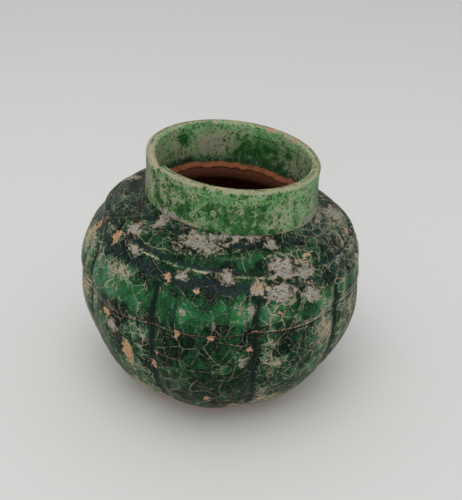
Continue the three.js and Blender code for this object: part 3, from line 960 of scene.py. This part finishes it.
class BodyMasks:
    """Where the glaze on one half of the body is bright, pooled and painted with shade, worn and painted with
    an edge sheen, crusted or gone.
    """

    def __init__(self, form, skin, rows, turns, rings):
        self.form = form
        self.skin = skin
        self.rings = rings
        self.z = rows[:, 1, None]
        self.degrees = degrees_of(form.angle(turns[None, :], self.z))
        self.away = form.away(turns)[None, :]
        self.fade = form.lobe_fade(self.z)
        self.film = smooth(self.near(FILM), -0.4, 0.8)
        self.seam = bell(self.z, form.seam, SEAM_MARK)
        self.bead = self.ring(form.bead_inner, form.bead_outer) ** 3

    def near(self, places):
        return patches(self.skin, self.form.body_spot, places)

    def ring(self, low, high):
        """How far a ring of the shoulder swells, and 0 on the lower half."""
        return 0.0 if self.rings is None else self.form.swell(self.rings, low, high)

    def tone(self):
        """Bright on the sides, in the upper half's lobes, on the band and under the film."""
        form, degrees = self.form, self.degrees
        upper = smooth(self.z, form.seam + 0.002, form.seam + 0.0065) * self.fade
        sides = smooth(np.abs(degrees), 20.0, 34.0)
        lobes = 0.18 * sides + (0.45 + 0.1 * bell(degrees, 26.0, 12.0)) * upper
        band = 0.17 * self.ring(form.band_inner, form.band_outer) * bell(degrees, 12.0, 35.0)
        dark = smooth(self.near(DARK), -0.3, 0.6)
        return 0.12 + lobes * self.fade + band + 0.35 * self.film - 0.4 * dark

    def pool(self):
        """Pooled glaze and painted shade: deep in the furrows and the shoulder's hollows, where the dark is
        partly glaze that pooled and partly painted shade, in the blisters, and as a painted shadow below the
        seam.
        """
        form, s = self.form, self.form.s
        furrow = bell(self.away, 0.0, s.channel_share * 0.5) * smooth(self.fade, 0.05, 0.5)
        furrow = furrow * smooth(self.z, 0.002, 0.008)
        valley = self.ring(form.bead_outer, form.lobe_top_radius) ** 0.8
        valley = valley * (0.6 + 0.4 * bell(self.degrees, -10.0, 40.0))
        groove = self.ring(form.band_outer, form.bead_inner)
        trough = self.ring(s.neck_radius, form.band_inner)
        blisters = smooth(self.near(BLISTERS), -0.4, 0.3)
        hollows = 2.1 * furrow, 0.95 * valley, 0.9 * groove, 0.75 * trough, blisters
        pool = np.maximum.reduce(np.broadcast_arrays(*hollows))
        pool = pool * (1.0 - 0.5 * self.film) + 0.3 * furrow * lattice_noise(self.skin, 0.006, 35)
        # On the lower half, a painted shadow along the seam under the upper half's overhang.
        return np.maximum(pool, 0.8 * self.seam) if self.rings is None else pool

    def wear_and_sheen(self):
        """Rubbed on the sides, the ridges, the foot and the film, along the seam and on the bead. Near the
        left and right edges as seen from the front, the paler band is partly wear and partly a painted sheen
        of light at grazing angles.
        """
        form, z, degrees = self.form, self.z, self.degrees
        shoulder = smooth(z, form.lobe_top, form.lobe_top + 0.004)
        ridge = bell(self.away, 0.12, 0.05) * smooth(self.fade, 0.2, 0.8)
        ridge = ridge * smooth(np.abs(degrees), 8.0, 16.0)
        # The terms that rise between about 50 and 78 degrees on each side are partly a painted sheen at the
        # edges; wear is halved behind them.
        left = 0.36 * smooth(-degrees, 20.0, 34.0) + 0.45 * smooth(-degrees, 58.0, 78.0)
        right = 0.36 * smooth(degrees, 12.0, 24.0) + 0.3 * smooth(degrees, 48.0, 75.0)
        wear_and_sheen = left * (1.0 - 0.5 * shoulder) + right + 0.12 * shoulder * bell(degrees, 52.0, 18.0)
        wear_and_sheen = wear_and_sheen * (1.0 - 0.5 * smooth(np.abs(degrees), 78.0, 105.0))
        wear_and_sheen = wear_and_sheen + 0.2 * ridge + 0.5 * (1.0 - smooth(z, 0.006, 0.02))
        wear_and_sheen = wear_and_sheen - 0.35 * shoulder * bell(degrees, 5.0, 26.0)
        wear_and_sheen = wear_and_sheen - 0.2 * bell(degrees, -4.0, 12.0) * self.fade
        wear_and_sheen = np.minimum(wear_and_sheen + 0.32 * self.film, 0.85)
        if self.rings is None:
            return wear_and_sheen
        rubbed = (0.65 + 0.4 * lattice_noise(self.skin, 0.005, 36)) * self.bead
        return np.maximum(wear_and_sheen + 0.55 * self.seam, rubbed)

    def crust(self):
        unseen = scattered(14, 41, 105.0, 260.0, 54.0, 66.5, 1.2, 4.5)
        return np.maximum(self.near(CRUST + unseen), self.film - 1.15)

    def bare(self):
        unseen = scattered(22, 42, 60.0, 262.0, 12.0, 64.0, 0.6, 2.0)
        spots = np.maximum(self.near(BARE + unseen), 2.2 * self.near(FLAKE))
        return np.maximum(spots, np.maximum(1.75 * self.seam, 1.85 * self.bead) - 2.0)

    def layers(self):
        return {
            "tone": self.tone(),
            "pool": self.pool(),
            "wear_and_sheen": self.wear_and_sheen(),
            "crust": self.crust(),
            "bare": self.bare(),
        }


class VASE_OT_body_glaze(bpy.types.Operator):
    """Build the glaze on the two halves of the body"""

    bl_idname = "vase.body_glaze"
    bl_label = "Body glaze"

    def execute(self, context):
        form = Form(context.scene.vase_shape)
        material = glaze_material("body_glaze", body_colours(context.scene.vase_finish), BODY_PATTERN)
        self.lower(form, material)
        self.upper(form, material)
        return {"FINISHED"}

    def lower(self, form, material):
        rows = form.wall_rows(np.linspace(form.bare_foot, form.seam - SEAM_GAP, 136))
        self.coat(form, material, "lower_coat", "lower_body_glaze", rows, None)

    def upper(self, form, material):
        s = form.s
        wall = form.wall_rows(np.linspace(form.seam + SEAM_GAP, form.lobe_top, 42)[:-1])
        start = s.neck_radius + ROOT_START
        radii = np.linspace(form.lobe_top_radius, start, 88)
        root = form.root_rows(start, 8)
        rows = np.vstack([wall, form.shoulder_rows(radii), root])
        rings = np.concatenate([np.full(len(wall), s.belly_radius), radii, np.full(len(root), s.neck_radius)])
        self.coat(form, material, "upper_coat", "upper_body_glaze", rows, rings[:, None])

    def drawn_in(self, form, z, rings):
        """How far a coat turns in at the seam."""
        s = form.s
        if rings is None:
            step = s.seam_step * smooth(z, s.belly_height, form.seam)
            return step + SEAM_TUCK * smooth(z, form.seam - 0.001, form.seam)
        return s.seam_roll * (1.0 - smooth(z, form.seam, form.seam + 0.003))

    def coat(self, form, material, name, node, rows, rings):
        """One half's glaze; rings are the upper half's radii on the shoulder's curve."""
        s = form.s
        turns = even_turns(form, s.columns)
        skin = form.on_body(rows, turns)
        masks = BodyMasks(form, skin, rows, turns, rings).layers()
        away = form.away(turns)[None, :]
        z = rows[:, 1, None]
        drawn_in = self.drawn_in(form, z, rings)
        lift = s.ridge_height * bell(away, 0.115, 0.035) * form.lobe_fade(z) - drawn_in
        lift = lift + WAVE * lattice_noise(skin, 0.013, 31) + DIMPLE * lattice_noise(skin, 0.004, 32)
        chipped = smooth(masks["bare"] + 0.3 * lattice_noise(skin, 0.0013, 33), -0.05, 0.2)
        crusted = smooth(masks["crust"] + 0.4 * lattice_noise(skin, 0.0016, 34), -0.05, 0.3)
        lift = lift - CHIP_SINK * chipped + CRUST_RISE * crusted
        over = form.on_body(rows, turns, lift)
        picks = np.linspace(len(rows) - 1, 0, 9).astype(int)
        under = form.on_body(rows[picks], turns, s.gap - s.glaze - drawn_in[picks])
        points = np.concatenate([over, under])
        make_piece(name, points, node, material, with_back(masks, over.shape[:2], picks))


class VASE_OT_neck_glaze(bpy.types.Operator):
    """Build the glaze outside and inside the neck"""

    bl_idname = "vase.neck_glaze"
    bl_label = "Neck glaze"

    def execute(self, context):
        form = Form(context.scene.vase_shape)
        material = glaze_material("neck_glaze", neck_colours(context.scene.vase_finish), NECK_PATTERN)
        self.outside(form, material)
        self.inside(form, material)
        return {"FINISHED"}

    def path(self, form, angles, low, side, depth):
        """Radii and heights up one side of the neck and over the lip, a depth below the glaze's skin."""
        s = form.s
        bend = s.neck_height - s.lip_crown
        wall = np.linspace(low, bend, NECK_STEPS)[:, None]
        centre = form.neck_skin(wall) - s.glaze - s.neck_wall / 2
        ring = form.on_neck(s.neck_radius + 0.0 * angles, s.neck_height, angles)
        edge = 1.1 - 0.25 * np.cos(angles) + 0.35 * lattice_noise(ring, 0.007, 53)
        edge = np.clip(edge + 0.15 * lattice_noise(ring, 0.0015, 54), 0.2, 1.5)
        sweep = np.linspace(0.0, 1.0, LIP_STEPS + 1)[1:, None] * edge
        coat = s.glaze - depth
        thin = coat * (1.0 - 0.75 * np.sin(sweep))
        radii = centre + side * (s.neck_wall / 2 + coat)
        over = centre[-1] + side * (s.neck_wall / 2 + thin) * np.cos(sweep)
        rise = np.broadcast_to(wall, (NECK_STEPS, angles.size))
        crown = bend + (s.lip_crown + thin) * np.sin(sweep)
        return np.vstack([np.broadcast_to(radii, rise.shape), over]), np.vstack([rise, crown])

    def outside(self, form, material):
        s = form.s
        angles = form.angle(even_turns(form, s.columns))[None, :]
        r, rise = self.path(form, angles, s.gap, 1.0, 0.0)
        skin = form.on_neck(r, rise, angles)
        up = rise / s.neck_height
        masks = self.outside_masks(form, skin, up, degrees_of(angles))
        lift = WAVE * lattice_noise(skin, 0.01, 51) + DIMPLE * lattice_noise(skin, 0.003, 52)
        lift = lift - NECK_CHIP_SINK * smooth(masks["bare"], 0.0, 0.3)
        lift = lift + NECK_CRUST_RISE * smooth(masks["crust"], 0.0, 0.4)
        over = form.on_neck(r + lift * self.below_lip(up), rise, angles)
        under = form.on_neck(*self.path(form, angles, s.gap, 1.0, s.glaze - s.gap), angles)
        self.coat("neck_coat_outside", "neck_glaze_outside", over, under, masks, material)

    def outside_masks(self, form, skin, up, degrees):
        """Masks by the share of the neck's height and by angle."""
        unseen = scattered(4, 43, 100.0, 260.0, 0.5, 4.0, 1.5, 4.0)
        crust = patches(skin, form.neck_spot, NECK_CRUST + unseen)
        bare = patches(skin, form.neck_spot, NECK_BARE)
        bare = np.maximum(bare, 2.15 * (1.0 - smooth(up, 0.04, 0.12)) - 2.0)
        tone = 0.36 + 0.35 * bell(degrees, 46.0, 22.0) + 0.25 * smooth(up, 0.5, 0.9)
        tone = tone - 0.12 * bell(degrees, 6.0, 20.0) * (1.0 - smooth(up, 0.4, 0.9))
        tone = tone - 0.22 * bell(degrees, -48.0, 20.0)
        wear_and_sheen = 0.12 + 0.16 * smooth(-degrees, 5.0, 40.0) + 0.08 * smooth(degrees, 40.0, 65.0)
        wear_and_sheen = wear_and_sheen + 0.35 * (1.0 - smooth(up, 0.0, 0.18)) * smooth(np.abs(degrees - 8.0), 12.0, 30.0)
        wear_and_sheen = wear_and_sheen + 0.7 * smooth(up, 0.92, 0.99) + 0.15 * smooth(-degrees, 52.0, 72.0)
        tone = tone + 0.25 * lattice_noise(skin, 0.0042, 55)
        wear_and_sheen = wear_and_sheen + 0.18 * lattice_noise(skin, 0.0055, 56)
        return {"tone": tone, "pool": 0.0, "wear_and_sheen": wear_and_sheen, "crust": crust, "bare": bare}

    def inside(self, form, material):
        s = form.s
        angles = form.angle(even_turns(form, s.columns))[None, :]
        r, rise = self.path(form, angles, INNER_GLAZE_LOW, -1.0, 0.0)
        skin = form.on_neck(r, rise, angles)
        up = rise / s.neck_height
        masks = self.inside_masks(form, skin, up, degrees_of(angles))
        lift = INNER_WAVE * lattice_noise(skin, 0.009, 61) * self.below_lip(up)
        over = form.on_neck(r + lift, rise, angles)
        under = form.on_neck(*self.path(form, angles, INNER_GLAZE_LOW, -1.0, s.glaze - s.gap), angles)
        masks = {key: values[::-1] for key, values in masks.items()}
        self.coat("neck_coat_inside", "neck_glaze_inside", over[::-1], under[::-1], masks, material)

    def inside_masks(self, form, skin, up, degrees):
        """Masks by the share of the neck's height and by angle."""
        dark = facing(degrees, 163.0, 14.0) * bell(up, 0.42, 0.26)
        tone = 0.7 - 0.65 * dark + 0.35 * smooth(up, 0.6, 0.9) - 0.45 * bell(up, 0.76, 0.025)
        tone = tone - 0.3 * bell(degrees, 118.0, 28.0) * (1.0 - smooth(up, 0.6, 0.9))
        wear_and_sheen = 0.32 + 0.4 * facing(degrees, -160.0, 22.0) * bell(up, 0.5, 0.25) - 0.6 * dark
        wear_and_sheen = wear_and_sheen + 0.1 * bell(degrees, 110.0, 30.0) + 0.2 * bell(degrees, -120.0, 35.0)
        wear_and_sheen = wear_and_sheen + 0.55 * smooth(up, 0.94, 1.0)
        smear = facing(degrees, -165.0, 20.0) * bell(up, 0.5, 0.18)
        shade = (0.6 + 0.3 * facing(degrees, -130.0, 40.0)) * (1.0 - smooth(up, 0.12, 0.42))
        tone = tone + 0.35 * lattice_noise(skin, 0.005, 62)
        wear_and_sheen = wear_and_sheen + 0.35 * lattice_noise(skin, 0.0065, 63) - 0.1
        bare = patches(skin, form.neck_spot, NECK_BARE)
        return {"tone": tone, "pool": shade, "wear_and_sheen": wear_and_sheen, "crust": 1.1 * smear - 0.85, "bare": bare}

    def below_lip(self, up):
        """1 on the neck's wall, fading to 0 at the lip."""
        return 1.0 - smooth(up, 0.85, 0.95)

    def coat(self, name, node, over, under, masks, material):
        picks = np.linspace(len(over) - 1, 0, 11).astype(int)
        points = np.concatenate([over, under[picks]])
        make_piece(name, points, node, material, with_back(masks, over.shape[:2], picks))


class VASE_OT_stage(bpy.types.Operator):
    """Set up the floor, the light and the camera"""

    bl_idname = "vase.stage"
    bl_label = "Stage"

    def execute(self, context):
        scene = context.scene
        stage = scene.vase_stage
        self.floor(scene, stage)
        self.light(scene, stage)
        self.camera(scene, stage)
        scene.view_settings.view_transform = "Standard"
        return {"FINISHED"}

    def floor(self, scene, stage):
        reach = 8.0
        mesh = bpy.data.meshes.new("floor")
        corners = [(-reach, -reach, 0.0), (reach, -reach, 0.0), (reach, reach, 0.0), (-reach, reach, 0.0)]
        mesh.from_pydata(corners, [], [(0, 1, 2, 3)])
        material, _, shader = new_material("floor")
        shader.inputs["Base Color"].default_value = (*stage.floor, 1.0)
        shader.inputs["Roughness"].default_value = 0.6
        shader.inputs["Specular IOR Level"].default_value = 0.2
        mesh.materials.append(material)
        floor = bpy.data.objects.new("floor", mesh)
        scene.collection.objects.link(floor)

    def light(self, scene, stage):
        world = bpy.data.worlds.new("studio")
        world.use_nodes = True
        back = world.node_tree.nodes["Background"]
        back.inputs["Color"].default_value = (0.97, 0.98, 1.0, 1.0)
        back.inputs["Strength"].default_value = stage.sky
        scene.world = world
        self.lamp(scene, "soft_lamp", stage.lamp, 0.7, (-0.05, -0.2, 0.85))
        self.lamp(scene, "front_fill", stage.fill, 0.4, (-0.05, -0.8, 0.24))

    def lamp(self, scene, name, power, size, place):
        """A round, soft lamp that shines at the vase."""
        lamp = bpy.data.lights.new(name, "AREA")
        lamp.shape = "DISK"
        lamp.size = size
        lamp.energy = power
        lamp.color = (1.0, 0.98, 0.95)
        holder = bpy.data.objects.new(name, lamp)
        holder.location = place
        aim = Vector((0.0, 0.0, 0.05)) - holder.location
        holder.rotation_euler = aim.to_track_quat("-Z", "Y").to_euler()
        scene.collection.objects.link(holder)

    def camera(self, scene, stage):
        data = bpy.data.cameras.new("camera")
        data.sensor_width = 36.0
        data.lens = stage.lens
        camera = bpy.data.objects.new("camera", data)
        forward = Vector((0.0, math.cos(stage.elevation), -math.sin(stage.elevation)))
        right = Vector((1.0, 0.0, 0.0))
        up = right.cross(forward)
        x_axis = right * math.cos(stage.roll) + up * math.sin(stage.roll)
        y_axis = up * math.cos(stage.roll) - right * math.sin(stage.roll)
        place = Vector((stage.aim_right, 0.0, stage.aim_height)) - forward * stage.distance
        turn = Matrix((x_axis, y_axis, -forward)).transposed().to_4x4()
        camera.matrix_world = Matrix.Translation(place) @ turn
        scene.collection.objects.link(camera)
        scene.camera = camera


class VASE_PT_panel(bpy.types.Panel):
    """Lists the steps that build the vase"""

    bl_idname = "VASE_PT_panel"
    bl_label = "Vase"
    bl_space_type = "VIEW_3D"
    bl_region_type = "UI"
    bl_category = "Vase"

    def draw(self, context):
        for operator in OPERATORS:
            self.layout.operator(operator.bl_idname)


SETTINGS = {"vase_shape": VaseShape, "vase_finish": VaseFinish, "vase_stage": VaseStage}
OPERATORS = (VASE_OT_clay, VASE_OT_slip, VASE_OT_body_glaze, VASE_OT_neck_glaze, VASE_OT_stage)
CLASSES = (*SETTINGS.values(), *OPERATORS, VASE_PT_panel)


def register():
    for cls in CLASSES:
        bpy.utils.register_class(cls)
    for name, cls in SETTINGS.items():
        setattr(bpy.types.Scene, name, PointerProperty(type=cls))


def unregister():
    for name in SETTINGS:
        delattr(bpy.types.Scene, name)
    for cls in reversed(CLASSES):
        bpy.utils.unregister_class(cls)


def main():
    register()
    bpy.ops.vase.clay()
    bpy.ops.vase.slip()
    bpy.ops.vase.body_glaze()
    bpy.ops.vase.neck_glaze()
    bpy.ops.vase.stage()


if __name__ == "__main__":
    main()
